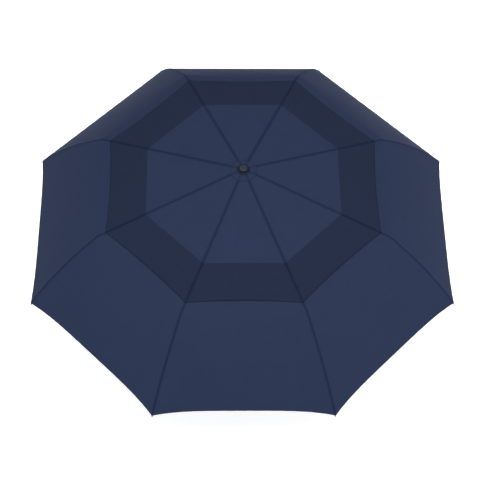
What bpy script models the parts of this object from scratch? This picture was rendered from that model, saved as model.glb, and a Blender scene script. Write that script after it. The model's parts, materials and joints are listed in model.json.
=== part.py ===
"""Folding umbrella with a vented double canopy, modelled open.

Two-section ribs: eight inner ribs hang from a crown on a telescoping shaft, and each carries
a curved outer rib on a knee. Stretchers join the ribs to a runner that slides on the shaft,
and a tie link on each stretcher turns the outer rib as the umbrella folds.

Metres, +Z up. The origin is on the shaft's axis, at the middle of the hand grip.
A rib plane has its x axis along the open inner rib, away from the crown pin, its y axis
towards the fabric, and its z axis across the rib.
"""
import bpy
import bmesh
import math
from mathutils import Matrix, Vector

# ---- driving dimensions, in metres and degrees ----
RIBS = 8
FIRST_RIB_AZIMUTH = 22.5          # a gore, not a rib, faces the front
CANOPY_RADIUS = 0.500             # shaft axis to the fabric's corner at a rib tip
CORNER_DROP = 0.173               # vent cap's corner height down to the hem's corner
CROWN_PIN_Z = 0.588               # crown pins above the middle of the grip, shaft extended
CROWN_PIN_R = 0.0115              # ring wire radius, crown and runner
RIB_SLOPE = math.degrees(math.atan(0.2))
RIB_LENGTH = 0.330                # crown pin to knee, along the rib
STRETCHER_LENGTH = 0.145          # also crown pin to stretcher pin, so the runner moves straight
KNEE_RISE = 0.0015                # knee pin above the line through the crown pin
OUTER_ROOT_SLOPE = 35.9           # outer rib's slope at the knee, below horizontal

GAP = 0.0003                      # between neighbours that touch
PIN_GAP = 0.0003                  # between a pin and its hole
PIN_R = 0.0007
RING_WIRE_R = 0.0006

CHANNEL_LOW = 0.0015              # channel's open edge above the pin line
CHANNEL_HIGH = 0.0042             # channel's back
CHANNEL_WALL = 0.0005
CHANNEL_HALF_INSIDE = 0.00185
CHANNEL_START = 0.0035            # from the crown pin
PRESSED_END = 0.012
EAR_R = 0.0019
BACK_CUTAWAY = 0.014              # channel's back stops this far before the knee
TONGUE_HALF = 0.0007

LANE_NEAR = 0.0002                # stretcher and knee plate lie on one side of the rib plane
LANE_FAR = 0.0015                 # and the tie link on the other
STRETCHER_HALF_HEIGHT = 0.0013
EYE_R = 0.0017
TIE_THROW = 0.006                 # pin offsets of the tie link at both of its ends
TIE_HALF_HEIGHT = 0.00075
TIE_EYE_R = 0.0014

ROD_R = 0.0012
ROD_START = 0.012                 # knee to the rod's root, along the outer rib
ROD_OVERLAP = 0.004
TIP_R = 0.0020
TIP_PAST_CORNER = 0.005
TIP_COVER = 0.006

FABRIC = 0.0005
FABRIC_ABOVE_RIB = 0.0019         # vent cap's outer face above the ribs' backs, along the vertical
CLOTH_ROOM = 0.0030               # between an inner rib and the outer rib folded over it
VENT_OVER_MAIN = 0.0008
VENT_RADIUS = 0.315               # vent cap's corner
VENT_HOLE_RADIUS = 0.2235         # main canopy's inner corner
FABRIC_HOLE_ROOM = 0.0019         # between the upper tube and the vent cap's hole
HEM_RISE = 0.012
VENT_RISE = 0.0055
APEX_FLAT_R = 0.0145              # the vent cap is nearly level inside this radius
APEX_STRAIGHT_R = 0.035           # and follows the ribs outside this one
APEX_RISE = 0.0031
STRAP_WIDTH = 0.012
STRAP_BESIDE_RIB = 0.006
STRAP_INSIDE = 0.004              # closing strap inside the cloth
FABRIC_OVER_TIP = 0.0024

LOWER_TUBE_R = 0.0070
TUBE_WALL = 0.0006
LOWER_TUBE_BOTTOM = -0.036
LOWER_TUBE_TOP = 0.355
UPPER_TUBE_BOTTOM = 0.295
UPPER_TUBE_ABOVE_CROWN = 0.008

HUB_FLANGE_OVER = 0.0007          # crown and runner flanges past the ring wire's circle
HUB_HALF = 0.0030
HUB_SLOT_BOTTOM_R = 0.0094
HUB_GROOVE_HALF = 0.0010
HUB_GROOVE_DEPTH = 0.0010         # inward from the ring wire's circle
RUNNER_SLEEVE = 0.026
RUNNER_SLEEVE_R = 0.0091
RUNNER_FOOT_R = 0.0100

GRIP_TOP = 0.045
GRIP_BOTTOM = -0.0413
GRIP_R = 0.0155
GRIP_NECK_R = 0.0128
CAP_BOTTOM = -0.045
BUTTON_Z = 0.024
BUTTON_R = 0.0055
BUTTON_TRAVEL = 0.0022
BUTTON_PROUD = 0.0020
BUTTON_RECESS = 0.0038            # behind its face, for the spring
BUTTON_RECESS_R = 0.0042
BUTTON_SPRING_R = 0.0030
BUTTON_SPRING_WIRE_R = 0.0004
BUTTON_SPRING_TURNS = 2
POCKET_FLOOR_R = 0.0094
POCKET_LENGTH = 0.012             # from its floor, past the grip's surface
CROSS_PIN_Z = -0.032
CROSS_PIN_R = 0.0012

FERRULE_BASE_R = 0.0135
FERRULE_TOP_R = 0.0103
FERRULE_HEIGHT = 0.0071
FERRULE_ABOVE_CROWN = 0.0054

MAIN_SPRING_TURNS = 15
MAIN_SPRING_WIRE_R = 0.0006
MAIN_SPRING_R = 0.0045
SPRING_SEAT_HEIGHT = 0.008
TUBE_PLUG_HEIGHT = 0.010
TUBE_PLUG_RIM = 0.0017

# ---- worked out from the above ----
SLOPE = math.radians(RIB_SLOPE)
ROOT = math.radians(OUTER_ROOT_SLOPE)
STRETCHER_SWING = 180.0 - 2.0 * RIB_SLOPE
KNEE_SWING = 180.0 + OUTER_ROOT_SLOPE - RIB_SLOPE
RUNNER_PIN_Z = CROWN_PIN_Z - 2.0 * STRETCHER_LENGTH * math.sin(SLOPE)
CHANNEL_HALF_OUTSIDE = CHANNEL_HALF_INSIDE + CHANNEL_WALL
HOLE_R = PIN_R + PIN_GAP
RING_HOLE_R = RING_WIRE_R + PIN_GAP
UPPER_TUBE_R = LOWER_TUBE_R - TUBE_WALL - GAP
FABRIC_HOLE_R = UPPER_TUBE_R + FABRIC_HOLE_ROOM
ROD_BELOW_KNEE = CHANNEL_HIGH + CLOTH_ROOM + ROD_R - KNEE_RISE
STRETCHER_PIN = Vector((STRETCHER_LENGTH, 0.0))
KNEE_PIN = Vector((RIB_LENGTH, KNEE_RISE))
KNEE_RADIUS = CROWN_PIN_R + RIB_LENGTH * math.cos(SLOPE)    # the cloth bends over the knees

COLLECTION = bpy.data.collections.new("folding_umbrella")
CUTTERS = bpy.data.collections.new("cutters")


def start_clean():
    for old in list(bpy.data.objects):
        bpy.data.objects.remove(old, do_unlink=True)
    bpy.context.scene.collection.children.link(COLLECTION)
    bpy.context.scene.collection.children.link(CUTTERS)


# ---- materials ----

def material(name, colour, roughness, metallic=0.0):
    made = bpy.data.materials.new(name)
    made.use_nodes = True
    shader = made.node_tree.nodes["Principled BSDF"]
    shader.inputs["Base Color"].default_value = (*colour, 1.0)
    shader.inputs["Roughness"].default_value = roughness
    shader.inputs["Metallic"].default_value = metallic
    return made


def steel(name):
    return material(name, (0.62, 0.63, 0.65), 0.28, 1.0)


def black_steel(name):
    return material(name, (0.05, 0.05, 0.055), 0.4, 0.8)


def fibreglass(name):
    return material(name, (0.07, 0.07, 0.08), 0.45)


def black_plastic(name):
    return material(name, (0.03, 0.03, 0.035), 0.5)


def navy_fabric(name):
    return material(name, (0.030, 0.042, 0.098), 0.85)


# ---- modelling helpers ----

def put(name, mesh, paint, matrix=None):
    made = bpy.data.objects.new(name, mesh)
    if matrix is not None:
        made.matrix_world = matrix
    COLLECTION.objects.link(made)
    made.data.materials.clear()
    made.data.materials.append(paint(name))
    return made


def screw(made, steps):
    turn = made.modifiers.new("Turn", "SCREW")
    turn.steps = steps
    turn.render_steps = steps
    turn.use_merge_vertices = True
    turn.merge_threshold = 0.00001
    return turn


def turned_mesh(name, profile, closed):
    """A mesh with the profile's line, (radius, height), for a Screw modifier."""
    mesh = bpy.data.meshes.new(name)
    shape = bmesh.new()
    points = [shape.verts.new((r, 0.0, z)) for r, z in profile]
    for a, b in zip(points, points[1:]):
        shape.edges.new((a, b))
    if closed:
        shape.edges.new((points[-1], points[0]))
    shape.to_mesh(mesh)
    shape.free()
    return mesh


def turned(name, profile, paint, closed=True, steps=24):
    made = put(name, turned_mesh(name, profile, closed), paint)
    screw(made, steps)
    return made


def evaluated_mesh(made, name):
    """The object's mesh as its modifiers or curve shape it, in world space."""
    bpy.context.view_layer.update()
    ready = made.evaluated_get(bpy.context.evaluated_depsgraph_get())
    mesh = bpy.data.meshes.new_from_object(ready)
    mesh.transform(made.matrix_world)
    mesh.name = name
    shape = bmesh.new()
    shape.from_mesh(mesh)
    bmesh.ops.remove_doubles(shape, verts=shape.verts, dist=0.000005)
    bmesh.ops.recalc_face_normals(shape, faces=shape.faces)
    shape.to_mesh(mesh)
    shape.free()
    return mesh


def bake(made, name):
    mesh = evaluated_mesh(made, name)
    bpy.data.objects.remove(made, do_unlink=True)
    return mesh


def ring(centre, radius, first, last, count):
    """Points of an arc, angles in degrees."""
    out = []
    for i in range(count + 1):
        angle = math.radians(first + (last - first) * i / count)
        out.append((centre[0] + radius * math.cos(angle), centre[1] + radius * math.sin(angle)))
    return out


def hole(centre, radius, count=12):
    return ring(centre, radius, 0.0, 360.0, count)[:-1]


def capsule(a, b, radius_a, radius_b, count=6):
    """An outline around two points, each with its own end radius."""
    a = Vector(a)
    b = Vector(b)
    turn = math.degrees(math.atan2(b.y - a.y, b.x - a.x))
    return (ring(b, radius_b, turn - 90.0, turn + 90.0, count)
            + ring(a, radius_a, turn + 90.0, turn + 270.0, count))


def plate(name, outlines, low, high):
    """A flat piece in the xy plane, from low to high in z. Inner outlines are holes."""
    data = bpy.data.curves.new(name, "CURVE")
    data.dimensions = "2D"
    data.fill_mode = "BOTH"
    data.extrude = (high - low) / 2.0
    for outline in outlines:
        line = data.splines.new("POLY")
        line.points.add(len(outline) - 1)
        for point, (x, y) in zip(line.points, outline):
            point.co = (x, y, 0.0, 1.0)
        line.use_cyclic_u = True
    made = bpy.data.objects.new(name, data)
    made.location.z = (low + high) / 2.0
    COLLECTION.objects.link(made)
    return bake(made, name)


def box_mesh(name, low, high):
    mesh = bpy.data.meshes.new(name)
    shape = bmesh.new()
    bmesh.ops.create_cube(shape, size=1.0)
    size = [b - a for a, b in zip(low, high)]
    middle = [(a + b) / 2.0 for a, b in zip(low, high)]
    bmesh.ops.transform(shape, matrix=Matrix.Translation(middle) @ Matrix.Diagonal((*size, 1.0)),
                        verts=shape.verts)
    shape.to_mesh(mesh)
    shape.free()
    return mesh


def cylinder_mesh(name, radius, length, matrix, sides=12):
    """A cylinder along the matrix's z axis, centred on its origin."""
    mesh = bpy.data.meshes.new(name)
    shape = bmesh.new()
    bmesh.ops.create_cone(shape, cap_ends=True, segments=sides, radius1=radius, radius2=radius,
                          depth=length)
    bmesh.ops.transform(shape, matrix=matrix, verts=shape.verts)
    shape.to_mesh(mesh)
    shape.free()
    return mesh


def boolean(made, other, operation):
    """Adds a Boolean of the other mesh, kept among the cutters."""
    tool = bpy.data.objects.new(other.name, other)
    CUTTERS.objects.link(tool)
    tool.hide_render = True
    tool.display_type = "WIRE"
    cut = made.modifiers.new("Boolean", "BOOLEAN")
    cut.operation = operation
    cut.solver = "EXACT"
    cut.object = tool
    return tool


def joined(name, meshes):
    """One closed mesh from several that run into each other."""
    base = bpy.data.objects.new(name, meshes[0])
    COLLECTION.objects.link(base)
    tools = [boolean(base, mesh, "UNION") for mesh in meshes[1:]]
    mesh = bake(base, name)
    for tool in tools:
        bpy.data.objects.remove(tool, do_unlink=True)
    return mesh


def wire(points, radius, resolution, closed=False):
    """A curve object of a round wire through the points."""
    data = bpy.data.curves.new("wire", "CURVE")
    data.dimensions = "3D"
    data.bevel_depth = radius
    data.bevel_resolution = resolution
    data.use_fill_caps = not closed
    line = data.splines.new("POLY")
    line.points.add(len(points) - 1)
    for point, at in zip(line.points, points):
        point.co = (*at, 1.0)
    line.use_cyclic_u = closed
    made = bpy.data.objects.new("wire", data)
    COLLECTION.objects.link(made)
    return made


def rib_matrix(number):
    """From rib-plane coordinates to world, for the rib of this number."""
    azimuth = math.radians(FIRST_RIB_AZIMUTH + 360.0 / RIBS * (number - 1))
    along = Vector((math.cos(SLOPE), 0.0, -math.sin(SLOPE)))
    up = Vector((math.sin(SLOPE), 0.0, math.cos(SLOPE)))
    across = along.cross(up)
    local = Matrix((along, up, across)).transposed().to_4x4()
    at = Matrix.Translation((CROWN_PIN_R, 0.0, CROWN_PIN_Z))
    return Matrix.Rotation(azimuth, 4, "Z") @ at @ local


def polar(length, degrees):
    angle = math.radians(degrees)
    return Vector((length * math.cos(angle), length * math.sin(angle)))


def stub(name, at, low, high):
    """A short pin across the rib plane."""
    middle = Matrix.Translation((at[0], at[1], (low + high) / 2.0))
    return cylinder_mesh(name, PIN_R, high - low, middle)


# ---- one rib's pieces, in rib-plane coordinates with the crown pin at the origin ----

def tie_pins():
    """The tie link's pins: on the stretcher, and on the outer rib's knee plate."""
    on_stretcher = STRETCHER_PIN + polar(TIE_THROW, 270.0 - STRETCHER_SWING / 2.0)
    on_outer = KNEE_PIN + polar(TIE_THROW, 270.0 - KNEE_SWING / 2.0)
    return on_stretcher, on_outer


def inner_rib_mesh():
    ear_left = STRETCHER_PIN.x - 0.006
    ear_right = STRETCHER_PIN.x + 0.006
    side = [(CHANNEL_START, CHANNEL_LOW), (ear_left, CHANNEL_LOW)]
    side += ring(STRETCHER_PIN, EAR_R, 200.0, 340.0, 6)
    side += [(ear_right, CHANNEL_LOW), (KNEE_PIN.x - 0.008, CHANNEL_LOW)]
    side += ring(KNEE_PIN, EAR_R, 250.0, 400.0, 6)
    side += [(KNEE_PIN.x - 0.002, CHANNEL_HIGH), (CHANNEL_START, CHANNEL_HIGH)]
    inside = CHANNEL_HALF_INSIDE
    outside = CHANNEL_HALF_OUTSIDE
    middle = (inside + outside) / 2.0
    skin = 0.00005
    walls = [plate("wall_a", [side], inside, outside), plate("wall_b", [side], -outside, -inside)]
    back = box_mesh("back", (CHANNEL_START + skin, CHANNEL_HIGH - CHANNEL_WALL, -middle),
                    (KNEE_PIN.x - BACK_CUTAWAY, CHANNEL_HIGH - skin, middle))
    pressed = box_mesh("pressed_end", (CHANNEL_START + 2 * skin, CHANNEL_LOW + skin, -middle),
                       (PRESSED_END, CHANNEL_HIGH - 2 * skin, middle))
    eye = ring((0.0, 0.0), EAR_R, 110.0, 300.0, 10)
    eye += [(PRESSED_END - 0.001, CHANNEL_LOW + 4 * skin), (PRESSED_END - 0.001, CHANNEL_HIGH - 4 * skin),
            (CHANNEL_START + 4 * skin, CHANNEL_HIGH - 4 * skin)]
    tongue = plate("tongue", [eye, hole((0.0, 0.0), RING_HOLE_R)], -TONGUE_HALF, TONGUE_HALF)
    pins = [stub("stretcher_stub", STRETCHER_PIN, -middle, -LANE_NEAR + skin),
            stub("knee_stub", KNEE_PIN, -middle, -LANE_NEAR + skin)]
    return joined("inner_rib", [walls[0], back, walls[1], pressed, tongue] + pins)


def stretcher_mesh():
    on_stretcher, _ = tie_pins()
    runner_pin = STRETCHER_PIN + polar(STRETCHER_LENGTH, 180.0 + 2.0 * RIB_SLOPE)
    bar = plate("bar", [capsule(runner_pin, STRETCHER_PIN, EYE_R, EYE_R),
                        hole(STRETCHER_PIN, HOLE_R), hole(runner_pin, RING_HOLE_R)],
                -LANE_FAR, -LANE_NEAR)
    boss_depth = 0.0001
    boss = cylinder_mesh("boss", EYE_R, LANE_FAR - LANE_NEAR - 2 * boss_depth,
                         Matrix.Translation((*on_stretcher, -(LANE_FAR + LANE_NEAR) / 2.0)))
    pin = stub("tie_stub", on_stretcher, -(LANE_FAR + LANE_NEAR) / 2.0, LANE_FAR)
    return joined("stretcher", [bar, boss, pin])


def tie_link_mesh():
    on_stretcher, on_outer = tie_pins()
    turn = (on_outer - on_stretcher).normalized()
    start = on_stretcher + turn * 0.001
    end = on_outer - turn * 0.001
    bar = plate("tie_bar", [capsule(start, end, TIE_HALF_HEIGHT, TIE_HALF_HEIGHT)],
                LANE_NEAR + 0.0001, LANE_FAR - 0.0002)
    near = plate("tie_eye", [hole(on_stretcher, TIE_EYE_R, 16)], LANE_NEAR, LANE_FAR - 0.0001)
    far = plate("tie_far_eye", [hole(on_outer, TIE_EYE_R, 16)], LANE_NEAR, LANE_FAR - 0.0001)
    whole = bpy.data.objects.new("tie_link", joined("tie_link", [bar, near, far]))
    COLLECTION.objects.link(whole)
    tools = []
    for pin in (on_stretcher, on_outer):
        drill = cylinder_mesh("drill", HOLE_R, 4 * LANE_FAR, Matrix.Translation((*pin, 0.0)))
        tools.append(boolean(whole, drill, "DIFFERENCE"))
    mesh = bake(whole, "tie_link")
    for tool in tools:
        bpy.data.objects.remove(tool, do_unlink=True)
    return mesh


def profile_to_rib(r, z):
    """A point of the rib's vertical plane, (radius, height), in rib-plane coordinates."""
    dr = r - CROWN_PIN_R
    dz = z - CROWN_PIN_Z
    return Vector((dr * math.cos(SLOPE) - dz * math.sin(SLOPE),
                   dr * math.sin(SLOPE) + dz * math.cos(SLOPE)))


def rod_ends():
    """The rod's root and the point under the fabric's corner, in rib-plane coordinates."""
    lean = math.radians(OUTER_ROOT_SLOPE - RIB_SLOPE)
    along = Vector((math.cos(lean), -math.sin(lean)))
    up = Vector((math.sin(lean), math.cos(lean)))
    root = KNEE_PIN + along * ROD_START - up * ROD_BELOW_KNEE
    tip_slope = outer_arc()[2]
    below = FABRIC + FABRIC_OVER_TIP
    r = CANOPY_RADIUS - below * math.sin(tip_slope)
    z = corner_z() - below * math.cos(tip_slope)
    return root, profile_to_rib(r, z), along


def arc_points(start, direction, end, count):
    """A circular arc that leaves start along direction and reaches end."""
    chord = end - start
    lean = math.atan2(chord.y, chord.x) - math.atan2(direction.y, direction.x)
    out = []
    for i in range(count + 1):
        part = i / count
        reach = chord.length * math.sin(part * lean) / math.sin(lean)
        angle = math.atan2(direction.y, direction.x) + part * lean
        out.append(start + Vector((reach * math.cos(angle), reach * math.sin(angle))))
    return out


def rod_line():
    root, tip, along = rod_ends()
    return [root - along * ROD_OVERLAP] + arc_points(root, along, tip, 12)


def outer_rib_mesh():
    _, on_outer = tie_pins()
    root, _, _ = rod_ends()
    line = rod_line()
    near = -LANE_NEAR
    far = -LANE_FAR
    lever = plate("lever", [capsule(KNEE_PIN, on_outer, EYE_R, TIE_EYE_R)], far, near)
    shank = plate("shank", [capsule(KNEE_PIN, root, EAR_R, ROD_R)], far + 0.00005, near - 0.00005)
    rod = bake(wire([(p.x, p.y, 0.0) for p in line], ROD_R, 2), "rod")
    whole = bpy.data.objects.new("outer_rib", joined("outer_rib", [rod, shank, lever]))
    COLLECTION.objects.link(whole)
    tools = []
    for pin in (KNEE_PIN, on_outer):
        drill = cylinder_mesh("drill", HOLE_R, 4 * LANE_FAR, Matrix.Translation((*pin, 0.0)))
        tools.append(boolean(whole, drill, "DIFFERENCE"))
    mesh = bake(whole, "outer_rib")
    for tool in tools:
        bpy.data.objects.remove(tool, do_unlink=True)
    return mesh


def rib_tip_mesh():
    """A moulded cap around the rod's end, with a round nose."""
    line = rod_line()
    direction = (line[-1] - line[-2]).normalized()
    end = line[-1]
    bore = ROD_R + GAP
    profile = [(0.0, TIP_PAST_CORNER), (TIP_R * 0.7, TIP_PAST_CORNER - 0.0006),
               (TIP_R, TIP_PAST_CORNER - 0.002), (TIP_R, -TIP_COVER), (bore, -TIP_COVER),
               (bore, GAP), (0.0, GAP)]
    spun = bpy.data.objects.new("tip", turned_mesh("tip", profile, False))
    COLLECTION.objects.link(spun)
    screw(spun, 12)
    turn = Vector((0.0, 0.0, 1.0)).rotation_difference(Vector((direction.x, direction.y, 0.0)))
    spun.matrix_world = Matrix.Translation((end.x, end.y, 0.0)) @ turn.to_matrix().to_4x4()
    return bake(spun, "rib_tip")


# ---- fabric ----

def fabric_start_z():
    """Height of the vent cap's outer face where the straight ribs' line meets the axis."""
    back = CHANNEL_HIGH / math.cos(SLOPE)
    return CROWN_PIN_Z + back + CROWN_PIN_R * math.tan(SLOPE) + FABRIC_ABOVE_RIB


def straight_z(r, lower):
    return fabric_start_z() - r * math.tan(SLOPE) - lower


def corner_z():
    """Height of the hem's corners."""
    return straight_z(VENT_RADIUS, 0.0) - CORNER_DROP


def outer_arc():
    """The outer fabric line: knee and corner as (radius, height), and the slope at the corner."""
    knee = Vector((KNEE_RADIUS, straight_z(KNEE_RADIUS, VENT_OVER_MAIN)))
    corner = Vector((CANOPY_RADIUS, corner_z()))
    chord = math.atan2(knee.y - corner.y, corner.x - knee.x)
    return knee, corner, 2.0 * chord - ROOT


def gore_grid(rows, steps, hem):
    """Vertex rows of a whole canopy. rows(t) gives the rib line's points for a share t of a gore."""
    shape = bmesh.new()
    columns = []
    for gore in range(RIBS):
        for step in range(steps):
            t = step / steps
            left = math.radians(FIRST_RIB_AZIMUTH + 360.0 / RIBS * gore)
            right = left + math.radians(360.0 / RIBS)
            column = []
            for r, z in rows(hem(t)):
                a = Vector((r * math.cos(left), r * math.sin(left), z))
                b = Vector((r * math.cos(right), r * math.sin(right), z))
                column.append(shape.verts.new(a.lerp(b, t)))
            columns.append(column)
    for a, b in zip(columns, columns[1:] + columns[:1]):
        for i in range(len(a) - 1):
            shape.faces.new((a[i], a[i + 1], b[i + 1], b[i]))
    return shape


def fabric_object(name, shape):
    mesh = bpy.data.meshes.new(name)
    bmesh.ops.recalc_face_normals(shape, faces=shape.faces)
    if sum((face.normal.z for face in shape.faces)) < 0.0:
        bmesh.ops.reverse_faces(shape, faces=shape.faces)
    shape.to_mesh(mesh)
    shape.free()
    made = put(name, mesh, navy_fabric)
    thick = made.modifiers.new("Thickness", "SOLIDIFY")
    thick.thickness = FABRIC
    thick.offset = -1.0
    return made


def canopy_main():
    """Outer canopy: from the vent's octagon, over the knees, to the scalloped hem."""
    knee, corner, _ = outer_arc()
    leave = Vector((math.cos(ROOT), -math.sin(ROOT)))
    arc = arc_points(knee, leave, corner, 8)

    def rows(rise):
        out = []
        for i in range(3):
            r = VENT_HOLE_RADIUS + (KNEE_RADIUS - VENT_HOLE_RADIUS) * i / 3.0
            out.append((r, straight_z(r, VENT_OVER_MAIN)))
        out += [tuple(p) for p in arc[:-1]]
        out.append(tuple(arc[-1] + (arc[-2] - arc[-1]).normalized() * rise))
        return out

    def hem(t):
        return HEM_RISE * (1.0 - abs(2.0 * t - 1.0) ** 4)

    fabric_object("canopy_main", gore_grid(rows, 6, hem))


def canopy_vent():
    """Vent cap: one sheet from the ferrule to its own hem, over the main canopy's hole."""
    def rows(rise):
        shoulder = straight_z(APEX_STRAIGHT_R, 0.0)
        out = [(FABRIC_HOLE_R, shoulder + APEX_RISE + 0.0002), (APEX_FLAT_R, shoulder + APEX_RISE),
               (APEX_STRAIGHT_R, shoulder)]
        for i in range(1, 4):
            r = APEX_STRAIGHT_R + (VENT_RADIUS - APEX_STRAIGHT_R) * i / 3.0
            if i == 3:
                r -= rise * math.cos(SLOPE)
            out.append((r, straight_z(r, 0.0)))
        return out

    def hem(t):
        return VENT_RISE * 4.0 * t * (1.0 - t)

    fabric_object("canopy_vent", gore_grid(rows, 4, hem))


def closing_strap():
    """The band that ties the folded canopy, lying inside the cloth beside one outer rib."""
    knee, corner, _ = outer_arc()
    leave = Vector((math.cos(ROOT), -math.sin(ROOT)))
    line = arc_points(knee, leave, corner, 24)
    left = math.radians(FIRST_RIB_AZIMUTH + 360.0 / RIBS)
    right = left + math.radians(360.0 / RIBS)
    shape = bmesh.new()
    rows = []
    for r, z in line[11:23]:
        a = Vector((r * math.cos(left), r * math.sin(left), z))
        b = Vector((r * math.cos(right), r * math.sin(right), z))
        side = (b - a).normalized()
        rows.append([shape.verts.new(a + side * (STRAP_BESIDE_RIB + STRAP_WIDTH * share))
                     for share in (0.0, 0.5, 1.0)])
    for a, b in zip(rows, rows[1:]):
        for i in range(2):
            shape.faces.new((a[i], b[i], b[i + 1], a[i + 1]))
    bmesh.ops.recalc_face_normals(shape, faces=shape.faces)
    if sum((face.normal.z for face in shape.faces)) < 0.0:
        bmesh.ops.reverse_faces(shape, faces=shape.faces)
    inward = sum((face.normal for face in shape.faces), Vector()).normalized() * -STRAP_INSIDE
    bmesh.ops.translate(shape, vec=inward, verts=shape.verts)
    fabric_object("closing_strap", shape)


# ---- shaft, hubs and handle ----

def tube_profile(radius, bottom, top):
    inside = radius - TUBE_WALL
    return [(radius, top), (radius, bottom), (inside, bottom), (inside, top)]


def hub_profile(bore, z, sleeve):
    """Crown or runner: a flange with a groove for the ring wire, and a sleeve below it."""
    flange = CROWN_PIN_R + HUB_FLANGE_OVER
    groove = CROWN_PIN_R - HUB_GROOVE_DEPTH
    profile = [(flange, z + HUB_HALF), (flange, z + HUB_GROOVE_HALF), (groove, z + HUB_GROOVE_HALF),
               (groove, z - HUB_GROOVE_HALF), (flange, z - HUB_GROOVE_HALF), (flange, z - HUB_HALF)]
    if sleeve:
        foot = z - HUB_HALF - sleeve
        profile += [(RUNNER_SLEEVE_R, z - HUB_HALF), (RUNNER_SLEEVE_R, foot + 0.004),
                    (RUNNER_FOOT_R, foot + 0.003), (RUNNER_FOOT_R, foot), (bore, foot)]
    else:
        profile += [(bore, z - HUB_HALF)]
    return profile + [(bore, z + HUB_HALF)]


def hub(name, bore, z, sleeve, half_slot, paint):
    made = turned(name, hub_profile(bore, z, sleeve), paint, steps=32)
    mesh = bake(made, name)
    made = put(name, mesh, paint)
    for number in range(1, RIBS + 1):
        azimuth = math.radians(FIRST_RIB_AZIMUTH + 360.0 / RIBS * (number - 1))
        slot = box_mesh("slot", (HUB_SLOT_BOTTOM_R, -half_slot, z - HUB_HALF - 0.001),
                        (CROWN_PIN_R + 0.003, half_slot, z + HUB_HALF + 0.001))
        slot.transform(Matrix.Rotation(azimuth, 4, "Z"))
        boolean(made, slot, "DIFFERENCE")
    return made


def ring_wire(name, z):
    section = [(r, z + h) for r, h in hole((CROWN_PIN_R, 0.0), RING_WIRE_R, 8)]
    section.reverse()
    turned(name, section, steel, steps=40)


def shaft():
    turned("lower_tube", tube_profile(LOWER_TUBE_R, LOWER_TUBE_BOTTOM, LOWER_TUBE_TOP), steel)
    top = CROWN_PIN_Z + UPPER_TUBE_ABOVE_CROWN
    turned("upper_tube", tube_profile(UPPER_TUBE_R, UPPER_TUBE_BOTTOM, top), steel)
    plug_r = UPPER_TUBE_R - TUBE_WALL - GAP
    plug = UPPER_TUBE_BOTTOM
    rim = plug - GAP
    turned("tube_plug", [(0.0, plug + TUBE_PLUG_HEIGHT), (plug_r, plug + TUBE_PLUG_HEIGHT), (plug_r, rim),
                         (UPPER_TUBE_R, rim), (UPPER_TUBE_R, rim - TUBE_PLUG_RIM),
                         (0.0, rim - TUBE_PLUG_RIM)], black_plastic, closed=False)
    seat_r = LOWER_TUBE_R - TUBE_WALL - GAP
    seat = LOWER_TUBE_BOTTOM
    top = seat + SPRING_SEAT_HEIGHT
    turned("spring_seat", [(0.0, top), (seat_r, top), (seat_r, seat + GAP), (0.0, seat + GAP)],
           black_plastic, closed=False)
    spring("main_spring", MAIN_SPRING_R, MAIN_SPRING_WIRE_R, top, rim - TUBE_PLUG_RIM,
           MAIN_SPRING_TURNS, Matrix.Identity(4))


def spring(name, radius, wire_r, low, high, turns, matrix):
    """A compression spring between two seats, along the matrix's z axis."""
    per_turn = 10
    count = turns * per_turn
    first = low + wire_r + GAP
    last = high - wire_r - GAP
    points = []
    for i in range(count + 1):
        angle = 2.0 * math.pi * i / per_turn
        points.append((radius * math.cos(angle), radius * math.sin(angle),
                       first + (last - first) * i / count))
    made = wire(points, wire_r, 1)
    made.matrix_world = matrix
    put(name, bake(made, name), steel)


def ferrule():
    base = CROWN_PIN_Z + FERRULE_ABOVE_CROWN
    top = base + FERRULE_HEIGHT
    bore = UPPER_TUBE_R + GAP
    pocket = CROWN_PIN_Z + UPPER_TUBE_ABOVE_CROWN + GAP
    turned("ferrule_cap", [(0.0, top), (FERRULE_TOP_R - 0.0010, top), (FERRULE_TOP_R, top - 0.0007),
                           (FERRULE_TOP_R + 0.0010, base + 0.0024), (FERRULE_BASE_R, base + 0.0014),
                           (FERRULE_BASE_R, base), (bore, base), (bore, pocket), (0.0, pocket)],
           black_plastic, closed=False, steps=32)


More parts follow.
